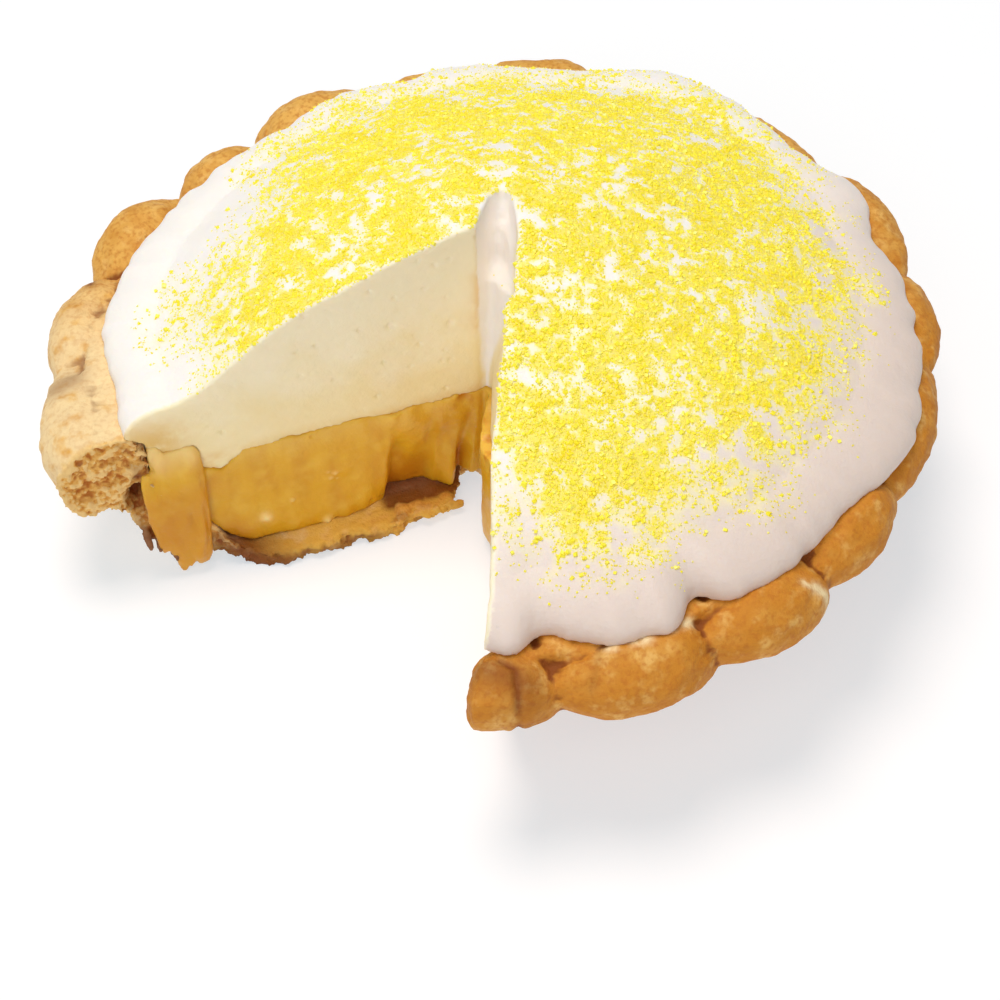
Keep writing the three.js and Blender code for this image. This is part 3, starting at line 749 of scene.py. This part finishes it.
# %% The white topping
TOP_HEIGHT = 101.6
TOPPING_REACH = [
    (0, 115), (8, 114), (14, 111), (26, 117), (34, 112), (62, 120), (78, 111), (88, 112), (96, 114),
    (104, 109), (115, 111), (127, 106), (176, 107), (192, 102), (266, 107), (273, 110), (277, 105),
    (286, 113), (293, 114), (298, 106), (303, 114), (321, 113), (337, 118.5), (351, 116), (360, 115),
]
FALL = [(0, 0), (0.2, 0.07), (0.4, 0.25), (0.6, 0.5), (0.76, 0.74), (0.88, 0.92), (0.96, 1)]
SUNK = [(0, 0), (0.14, 0.06), (0.36, 0.24), (0.6, 0.48), (0.76, 0.83), (0.86, 0.95), (0.95, 1)]
LIP, LIP_DROP = 16, 2.5
SHOULDER = 0.86
NOTCH = [(8.6, 5.7), (7.4, 13.5), (4.4, 15.5), (1.6, 11.5)]


def smooth_profile(pairs):
    """Evens the steps between the pairs out, so that no ring shows in the dome."""
    shares = np.linspace(0, 1, 101)
    places, values = np.array(pairs).T
    heights = np.interp(shares, places, values)
    for _ in range(60):
        heights[1:-1] = (heights[:-2] + 2 * heights[1:-1] + heights[2:]) / 4
    return shares, heights


fall_profile, sunk_profile = smooth_profile(FALL), smooth_profile(SUNK)


def evened(values, reach):
    """The same values round the pie, each the mean of its neighbours."""
    around = np.concatenate([values[-reach:], values, values[:reach]])
    return np.convolve(around, np.full(2 * reach + 1, 1 / (2 * reach + 1)), "valid")


def topping_body():
    azimuth = np.arange(0, 360, 1.0)
    edge = evened(through(TOPPING_REACH, azimuth), 1)
    around = stacked(azimuth * 2, 0, 0)
    edge = edge + 0.5 * noise(around, 7, 51) + 0.6 * noise(around, 4, 57)
    inner = evened(edge, 25)
    lip = rope_height(azimuth) + LIP - LIP_DROP * (1 + np.sin(np.radians(azimuth))) / 2
    foot = rope_height(azimuth) + 2
    sunk = 1 - ease(np.abs(azimuth - LEFT_CUT), 0, 70)

    def radius(share):
        return share * blend(inner, edge, ease(share, 0.72, 1))

    def surface(share):
        fall = blend(np.interp(share, *fall_profile), np.interp(share, *sunk_profile), sunk)
        x = radius(share) * np.cos(np.radians(azimuth))
        y = radius(share) * np.sin(np.radians(azimuth))
        place = stacked(x, y, 0)
        swell = 0.9 * noise(place, 22, 52) + 0.35 * noise(place, 9, 53)
        return blend(TOP_HEIGHT, lip, fall) + swell * ease(share, 0.03, 0.25)

    top = surface(SHOULDER)
    inside = RIM_INSIDE_RADIUS
    outline = [(0, 30, 0), (inside - 4, 30, 0), (inside, foot, 0), (edge - 2, foot, 0)]
    for degrees in range(-20, 85, 8):
        up, outwards = math.sin(math.radians(degrees)), math.cos(math.radians(degrees))
        outline.append((blend(radius(SHOULDER), edge, outwards), blend(foot, top, 0.5 + 0.5 * up), 0))
    outline += [(radius(share), surface(share), 0) for share in np.arange(SHOULDER, 0.01, -0.015)]
    return turned([*outline, (0, TOP_HEIGHT, 0)], azimuth)


def topping_left(out, z):
    place = stacked(out, z, 0)
    return 0.5 * noise(place, 16, 54) + 0.25 * noise(place * [0.35, 1, 1], 4, 55)


def topping_right(out, z):
    reach = through([(6, -8.9), (22, -8.3), (26, -5.5), (36, -5.5), (48, -3.8), (66, -2.4), (94, -2.3),
                     (103, -1.2), (108, 1)], out)
    foot = (1 - ease(z, FILLING_HEIGHT, 84)) * (1 - ease(out, 18, 34))
    place = stacked(out, z, 0)
    return reach * (1 - 0.75 * foot) + 0.35 * noise(place, 12, 56)


def notched_tip(heights):
    depth = 0.25 * ease(heights, 44, 74) + 0.4 * ease(heights, 76.5, 80.5) + 0.35 * ease(heights, 84, 102)
    corners = [(x * blend(0.3, 1, depth), blend(0.2 * (9 - x), y, depth)) for x, y in NOTCH]
    return np.concatenate([stacked(APEX[0] + x, APEX[1] + y, heights) for x, y in corners], 1)


topping = piece_of("topping_white", topping_body())
cut_away(topping, piece_of("topping_space", slice_space(topping_left, topping_right, notched_tip, 2)))
cut_away(topping, whole_crust)
cut_away(topping, whole_filling)
cut_away(topping, strip)
fused(topping, voxel=0.75)
drop_scraps(topping)

# %% [markdown]
# ## The topping's skin
# Whipped white is smooth on the outside, with shallow dents. On the cut faces the knife opened small
# bubbles and dragged the cream. The functions that made the faces say where they are.

# %% The topping's skin
def on_knife_cut(points):
    found = 0
    for azimuth, side, face in ((LEFT_CUT, 1, topping_left), (RIGHT_CUT, -1, topping_right)):
        out, into, z = from_cut(points, azimuth, side)
        found = np.maximum(found, (1 - ease(np.abs(into - face(out, z)), 0.5, 1.4)) * (out > -1))
    return found


BUBBLES = [(84.8, 43.4, 1.7, 1.6), (26, 72.7, 1.1, 1.0), (9.4, 68.5, 1.0, 1.0)]


def topping_relief(points):
    cut = on_knife_cut(points)
    outside = 0.18 * noise(points, 5, 61) + 0.08 * noise(points, 2.2, 62)
    opened = 1 - ease(to_nearest_spot(points, 5.5, 63), 0.06, 0.17)
    face = 0.16 * noise(points * [1, 1, 1.6], 3.2, 64) + 0.08 * noise(points, 1.4, 65) - 0.6 * opened
    face = face - spots(points, BUBBLES)
    gouged = near(points[:, 0] - 3, 6) * near(points[:, 1] - 4, 10)
    return blend(outside, face, cut) + 0.6 * gouged * rough(points, 5, 66)


raise_skin(topping, topping_relief)
lightened(topping, most=190000)
topping_points = points_of(topping)
out, into, z = from_left(topping_points)
cut_face = on_knife_cut(topping_points)
mark(topping, "cut", cut_face)
mark(topping, "lemon", cut_face * (ease(out, 78, 93) * (1 - ease(z, 50, 62)) + 0.6 * (1 - ease(z, 38, 44)))
     + 0.7 * near(out, 3) * between(z, 60, 64, 82, 88))
# painted shade: the topping's outer slopes grow greyer towards the right-front, away from the light
shadow_side = np.cos(np.radians(azimuth_of(topping_points) - 318))
mark(topping, "away", ease(np.hypot(topping_points[:, 0], topping_points[:, 1]), 55, 108)
     * ease(shadow_side, -0.1, 0.9) * (1 - cut_face))

# %% [markdown]
# ## Where the sugar lies
# The sugar was strewn by hand, a little off centre. It lies thick in the middle and patchy towards its
# edge. One function says how much of the surface it covers. That function places the grains, and it
# stains the cream under them, because the colour has run a little. Grains drawn as a texture would
# look flat at the dome's edge, so they are real crystals: blocks, splinters and specks.

# %% Where the sugar lies
SUGAR_CENTRE = np.array([12, 8])
SUGAR_REACH = [
    (0, 80), (20, 81), (37, 86), (60, 94), (75, 90), (90, 86), (126, 90), (147, 86), (162, 74),
    (179, 87), (190, 90), (200, 84), (265, 86), (280, 93), (300, 87), (326, 85), (342, 78), (360, 80),
]


def sugar_cover(points):
    flat = points * [1, 1, 0]
    x, y = flat[:, 0] - SUGAR_CENTRE[0], flat[:, 1] - SUGAR_CENTRE[1]
    reach = through(SUGAR_REACH, np.degrees(np.arctan2(y, x)) % 360)
    wobble = 5 * noise(flat, 22, 71) + 5 * noise(flat, 8, 72)
    edge = 1 - ease(np.hypot(x, y) + wobble - reach, -22, 20)
    clumps = 0.6 + 0.22 * noise(flat, 12, 73) + 0.3 * noise(flat, 4.5, 74) + 0.55 * noise(flat, 1.8, 75)
    in_notch = np.exp(-((((points[:, 0] - 3) / 5) ** 2 + ((points[:, 1] - 3) / 9) ** 2) ** 2))
    return np.clip(edge * 1.1, 0, 1) * np.clip(clumps, 0, 1) * (1 - in_notch)


outward = normals_of(topping)[:, 2]
mark(topping, "sugar", sugar_cover(topping_points) * ease(outward, 0.3, 0.65) * (1 - cut_face))
ground = BVHTree.FromPolygons(
    [v.co for v in topping.data.vertices], [p.vertices for p in topping.data.polygons]
)
BLOCK = np.array(list(itertools.product((-1, 1), repeat=3)), float)
BLOCK_SIDES = [[0, 1, 3, 2], [4, 6, 7, 5], [0, 4, 5, 1], [2, 3, 7, 6], [0, 2, 6, 4], [1, 5, 7, 3]]
SPLINTER = np.kron(np.eye(3), [[1.4], [-1.4]])
SPLINTER_SIDES = [[0, 2, 4], [2, 1, 4], [1, 3, 4], [3, 0, 4], [2, 0, 5], [1, 2, 5], [3, 1, 5], [0, 3, 5]]
SPECK = np.array([[1, 1, 1], [1, -1, -1], [-1, 1, -1], [-1, -1, 1]], float)
SPECK_SIDES = [[0, 1, 2], [0, 3, 1], [0, 2, 3], [1, 3, 2]]


def turning(turns):
    """A rotation matrix for each row of turns about X, Y and Z."""
    total = np.eye(3)
    for axis, angle in enumerate(turns.T):
        b, c = (axis + 1) % 3, (axis + 2) % 3
        turn = np.zeros((len(angle), 3, 3))
        turn[:, axis, axis] = 1
        turn[:, b, b] = turn[:, c, c] = np.cos(angle)
        turn[:, c, b], turn[:, b, c] = np.sin(angle), -np.sin(angle)
        total = total @ turn
    return total


def strewn(name, shape, sides, grains, small, large, seed):
    """Many small crystals in one mesh. A ray from above finds where each comes to lie, half sunk in."""
    random = np.random.default_rng(seed)
    spots = random.uniform([-100, -105, 0], [108, 112, 0], (grains * 5, 3))
    spots = spots[random.uniform(size=len(spots)) < sugar_cover(spots)][:grains]
    landed = [ground.ray_cast(Vector((x * MM, y * MM, 0.2)), Vector((0, 0, -1)))[:2] for x, y, _ in spots]
    landed = [(place, normal) for place, normal in landed if place is not None and normal.z > 0.5]
    places = np.array([place for place, _ in landed]) / MM
    normals = np.array([normal for _, normal in landed])
    count = len(places)
    size = random.uniform(small, large, count)[:, None, None] / 2
    uneven = random.uniform(0.7, 1.15, (count, 1, 3)) * random.uniform(0.8, 1.2, (count, len(shape), 1))
    tilt = turning(random.uniform(-1, 1, (count, 3)) * [0.7, 0.7, 3.1])
    middles = places + normals * size[:, 0] * 0.1
    points = (shape * size * uneven) @ tilt.transpose(0, 2, 1) + middles[:, None]
    first = (np.arange(count) * len(shape))[:, None, None]
    faces = (np.array(sides) + first).reshape(-1, len(sides[0]))
    return piece_of(name, (points.reshape(-1, 3), faces.tolist()))


coarse_sugar = strewn("sugar_coarse", BLOCK, BLOCK_SIDES, 4500, 0.7, 1.05, 81)
fine_sugar = strewn("sugar_fine", SPLINTER, SPLINTER_SIDES, 23500, 0.4, 0.72, 82)
sugar_dust = strewn("sugar_dust", SPECK, SPECK_SIDES, 36000, 0.3, 0.55, 83)

# %% [markdown]
# ## Sums in a material
# A material is a net of nodes, and a long sum is hard to read as a list of links. This small class
# wraps one output of a node, and a sum written with it, such as 1 - mask, adds the nodes that work it
# out. Numbers go through Math nodes, colours and vectors through Vector Math and Mix.

# %% Sums in a material
class Wire:
    """One output of a node, with which sums can be written."""

    def __init__(self, socket):
        self.socket = socket
        self.tree = socket.id_data

    def node(self, kind, settings=None, sockets=None, output=0):
        """Adds any node to the same material: its settings first, then its sockets."""
        return Wire(add_node(self.tree, kind, settings, sockets).outputs[output])

    def sum(self, operation, first, second=None):
        numbers = all(not isinstance(v, Wire) or v.socket.type == "VALUE" for v in (first, second))
        kind = "ShaderNodeMath" if numbers else "ShaderNodeVectorMath"
        sockets = {0: first} if second is None else {0: first, 1: second}
        return self.node(kind, {"operation": operation}, sockets)

    def __add__(self, other):
        return self.sum("ADD", self, other)

    def __sub__(self, other):
        return self.sum("SUBTRACT", self, other)

    def __rsub__(self, other):
        return self.sum("SUBTRACT", other, self)

    def __mul__(self, other):
        return self.sum("MULTIPLY", self, other)

    __radd__, __rmul__ = __add__, __mul__

    def step(self, low, high):
        """0 below low, 1 above high."""
        sockets = {"Value": self, "From Min": low, "From Max": high}
        return self.node("ShaderNodeMapRange", {"interpolation_type": "SMOOTHSTEP"}, sockets)

    def mixed(self, first, second):
        """The first colour where this is 0 and the second where it is 1."""
        return self.node("ShaderNodeMix", {"data_type": "RGBA"}, {"Factor": self, 6: first, 7: second}, 2)

    def under(self, *coats):
        """This colour under coats of other colours, each with its share from 0 to 1."""
        painted = self
        for tone, share in coats:
            painted = share.mixed(painted, colour(*tone))
        return painted

    def lumps(self, size, detail=2.0):
        """Noise of this size in millimetres, from 0 to 1."""
        sockets = {"Vector": self, "Scale": 1 / (size * MM), "Detail": detail}
        return self.node("ShaderNodeTexNoise", None, sockets)


def add_node(tree, kind, settings=None, sockets=None):
    node = tree.nodes.new(kind)
    for setting, value in (settings or {}).items():
        setattr(node, setting, value)
    for name, value in (sockets or {}).items():
        if isinstance(value, Wire):
            tree.links.new(value.socket, node.inputs[name])
        elif node.inputs[name].type == "RGBA" and len(value) == 3:
            node.inputs[name].default_value = (*value, 1)
        else:
            node.inputs[name].default_value = value
    return node


def colour(red, green, blue):
    """A colour as read from a screen, 0 to 255, in the linear numbers that Blender uses."""
    parts = [value / 255 for value in (red, green, blue)]
    return tuple(v / 12.92 if v <= 0.04045 else ((v + 0.055) / 1.055) ** 2.4 for v in parts)


def new_finish(name):
    """A new material: its tree and the place of each point on the piece."""
    material = bpy.data.materials.new(name)
    material.use_nodes = True
    tree = material.node_tree
    tree.nodes.clear()
    return material, tree, Wire(add_node(tree, "ShaderNodeTexCoord").outputs["Object"])


def marked(tree, name):
    """The value that mark() kept for each point."""
    return Wire(add_node(tree, "ShaderNodeAttribute", {"attribute_name": name}).outputs["Fac"])


def soft(share, colours, depth):
    """The sockets for light that goes into a body, in metres for each colour."""
    return {"Subsurface Weight": share, "Subsurface Radius": colours, "Subsurface Scale": depth}


def shade(tree, sockets, relief, depth):
    """The shader itself, with a bump of some millimetres from the relief."""
    bump = add_node(tree, "ShaderNodeBump", None, {"Height": relief, "Distance": depth * MM})
    shader = add_node(tree, "ShaderNodeBsdfPrincipled", None, {**sockets, "Normal": Wire(bump.outputs[0])})
    ending = add_node(tree, "ShaderNodeOutputMaterial")
    tree.links.new(shader.outputs[0], ending.inputs["Surface"])


# %% [markdown]
# ## The pastry's colour
# Pastry browns where it stands out and stays pale where it was floured. It is painted darkest in the
# creases and hollows, as shade. The front and right are painted darker than the left, as shade on the
# side away from the light. The break shows pale layers with a painted highlight on the raised crumbs,
# and brown pits that are partly painted shade. A ramp alone would look even, so mottling of three sizes
# is laid over it.

# %% The pastry's colour
pastry, tree, place = new_finish("pastry")
hollow, broken, pale = marked(tree, "hollow"), marked(tree, "broken"), marked(tree, "pale")
# random mottled browning, plus painted shade on the front and right, the side away from the light
browning_and_shade = (marked(tree, "away_side_shade") * 0.9 + place.lumps(30) * 0.9 + place.lumps(6, 3) * 1.2 - 1.1).step(0, 1)
grain = place.lumps(1.4, 3)
gold = browning_and_shade.mixed(colour(232, 178, 88), colour(204, 132, 40)).under(
    ((240, 194, 112), place.lumps(5, 3).step(0.5, 0.72) * 0.6),
    ((250, 226, 176), pale * place.lumps(5, 3).step(0.2, 0.5)),
    ((188, 110, 34), grain.step(0.42, 0.72) * (1 - pale * 0.9) * 0.6),
    # painted shade: darkest in the creases and hollows
    ((126, 60, 16), hollow.step(0.56, 1) * (1 - pale * 0.4) * 0.9),
)
flaky = grain.step(0.42, 0.66).mixed(colour(232, 180, 96), colour(210, 144, 58)).under(
    # painted highlight on the raised crumbs of the break, and painted shade in its hollows
    ((246, 214, 150), (1 - hollow).step(0.52, 0.7) * 0.6),
    ((172, 92, 24), hollow.step(0.52, 0.95) * 0.85),
)
baked = broken.mixed(gold, flaky).under(
    ((226, 178, 76), marked(tree, "amber") * place.lumps(6, 2).step(0.2, 0.5) * 0.9),
    # painted shade in the low corner, the cavity, under the scoop and at the torn foot
    ((112, 44, 8), marked(tree, "corner") * 0.85),
    # painted shade in folds, dimples and pits, with darker crumbs and patches
    ((120, 54, 12), marked(tree, "shade_and_dark_spots") * 0.85),
)
relief = grain * 0.6 + place.lumps(0.5, 2) * 0.3
shade(tree, {"Base Color": baked, "Roughness": 0.65, "Specular IOR Level": 0.2}, relief, 0.45)

# %% [markdown]
# ## The filling's colour
# The filling is a clear amber cream. Light goes some way into it, so the shader gets subsurface
# scattering, and its wet skin gets a low roughness. A darker amber is painted in as shade in the scooped
# recess, low in the corner and on the lower tongue.

# %% The filling's colour
lemon, tree, place = new_finish("lemon_filling")
stretched = place.node("ShaderNodeMapping", None, {"Vector": place, "Scale": (1, 1, 0.3)})
streaks = stretched.lumps(7, 2).step(0.35, 0.75) * 0.7
amber = streaks.mixed(colour(226, 172, 34), colour(208, 144, 22)).under(
    ((236, 194, 70), place.lumps(6, 2).step(0.45, 0.75) * 0.5),
    ((236, 196, 96), marked(tree, "creamy") * 0.5),
    # painted shade: darker amber where deep is high
    ((196, 116, 18), marked(tree, "deep") * 0.9),
    ((250, 214, 140), marked(tree, "pale")),
)
skin = {"Roughness": 0.35, "Specular IOR Level": 0.3, **soft(0.25, (1.0, 0.5, 0.15), 0.004)}
shade(tree, {"Base Color": amber, **skin}, place.lumps(2, 2), 0.25)

# %% [markdown]
# ## The topping's colour
# The outside is nearly white, painted greyer towards the right-front lip as shade on the side away from
# the light. The cut face is creamier, and yellower low down, where it took up some lemon. Under the
# sugar the white is stained.

# %% The topping's colour
whipped, tree, place = new_finish("whipped_topping")
cut, sugar = marked(tree, "cut"), marked(tree, "sugar")
up = place.node("ShaderNodeSeparateXYZ", None, {0: place}, 2)
# painted shade: greyer where away is high, towards the right-front lip
white = marked(tree, "away").mixed(colour(254, 245, 237), colour(226, 208, 196)).under(
    ((254, 244, 168), sugar.step(0, 0.4) * 0.5),
    ((254, 232, 64), (sugar * 1.4 + place.lumps(1.3, 2) * 1.2 - 1.05).step(0, 0.5) * 0.85),
)
low_down = (up * -1 + place.lumps(12, 2) * 0.04).step(-0.055, -0.02) * 0.6
cream = low_down.mixed(colour(252, 238, 206), colour(242, 220, 152)).under(
    ((222, 174, 74), marked(tree, "lemon") * place.lumps(5, 2).step(0.25, 0.6) * 0.8),
)
skin = {"Roughness": 0.55, **soft(0.35, (1.0, 0.8, 0.55), 0.003)}
shade(tree, {"Base Color": cut.mixed(white, cream), **skin}, place.lumps(1.2, 3), 0.12)

# %% [markdown]
# ## The sugar's colour
# The crystals are dyed a strong lemon yellow. Each grain differs a little, which noise over the place
# gives without a material for each. Light passes through real sugar, and a faint light of its own
# stands for that.

# %% The sugar's colour
dyed, tree, place = new_finish("dyed_sugar")
yellow = place.lumps(2.4, 1).step(0.5, 0.75).mixed(colour(255, 240, 66), colour(255, 248, 150)).under(
    ((250, 228, 26), place.lumps(9, 2).step(0.5, 0.7) * 0.7),
)
skin = {"Roughness": 0.4, **soft(0.3, (1.0, 0.9, 0.2), 0.001)}
glow = {"Emission Color": (1.0, 0.8, 0.04), "Emission Strength": 0.05}
shade(tree, {"Base Color": yellow, **skin, **glow}, place.lumps(0.6, 1), 0.05)

# %% [markdown]
# ## Handing the pieces over
# Each piece rides on the pie's one body, stands for the solid that it dresses, and gets its finish.
# Smooth shading is right for all but the sugar, whose facets glint.

# %% Handing the pieces over
for piece, material, node, slot in (
    (crust, pastry, "crust", "crust"),
    (filling, lemon, "lemon_filling", "filling"),
    (topping, whipped, "topping", "topping"),
    *((sugar, dyed, "topping", "topping") for sugar in (coarse_sugar, fine_sugar, sugar_dust)),
):
    piece.data.materials.clear()
    piece.data.materials.append(material)
    piece.data.polygons.foreach_set("use_smooth", [material is not dyed] * len(piece.data.polygons))
    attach(piece, "root")
    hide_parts(node)
    print(piece.name, "has", len(piece.data.polygons), "faces")

# %% [markdown]
# ## Floor, light and camera
# The pie stands on seamless white and is seen from above, at about 49 degrees, with a long lens. A big
# soft light hangs behind it on the left, so that the shadow falls to the front and right. A weaker
# light and white surroundings fill the shadow.

# %% Floor, light and camera
FLOOR_REACH = 3000
corners = FLOOR_REACH * np.array([(-1, -1, 0), (1, -1, 0), (1, 1, 0), (-1, 1, 0)])
floor = piece_of("floor", (corners, [[0, 1, 2, 3]]))
paper, tree, place = new_finish("paper")
matt = {"Base Color": (0.63, 0.53, 0.47), "Roughness": 0.9, "Specular IOR Level": 0.0}
glow = {"Emission Color": (0.395, 0.495, 0.555), "Emission Strength": 1.0}
shade(tree, {**matt, **glow}, place.lumps(40), 0.01)
floor.data.materials.append(paper)

world = bpy.data.worlds.new("studio")
world.use_nodes = True
background = world.node_tree.nodes["Background"]
background.inputs["Color"].default_value = (1.0, 1.0, 1.0, 1)
background.inputs["Strength"].default_value = 0.32
bpy.context.scene.world = world


def soft_light(name, azimuth, elevation, distance, size, power):
    lamp = bpy.data.lights.new(name, "AREA")
    lamp.shape = "DISK"
    lamp.size = size
    lamp.energy = power
    light = placed(name, lamp)
    across, tall = math.radians(azimuth), math.radians(elevation)
    light.location = distance * Vector((
        math.cos(across) * math.cos(tall), math.sin(across) * math.cos(tall), math.sin(tall)
    ))
    light.rotation_euler = light.location.to_track_quat("Z", "Y").to_euler()


soft_light("main", azimuth=140, elevation=80, distance=1.6, size=0.75, power=14.5)
soft_light("fill", azimuth=260, elevation=42, distance=1.6, size=1.3, power=7.5)

camera_data = bpy.data.cameras.new("camera")
camera_data.lens = 80.78
camera_data.sensor_width = 36
DOWNWARDS = 49.07
camera = placed("camera", camera_data)
camera.location = (0.00287, -0.43547, 0.49108)
camera.rotation_euler = (math.radians(90 - DOWNWARDS), 0, 0)
bpy.context.scene.camera = camera
bpy.context.scene.view_settings.view_transform = "Standard"
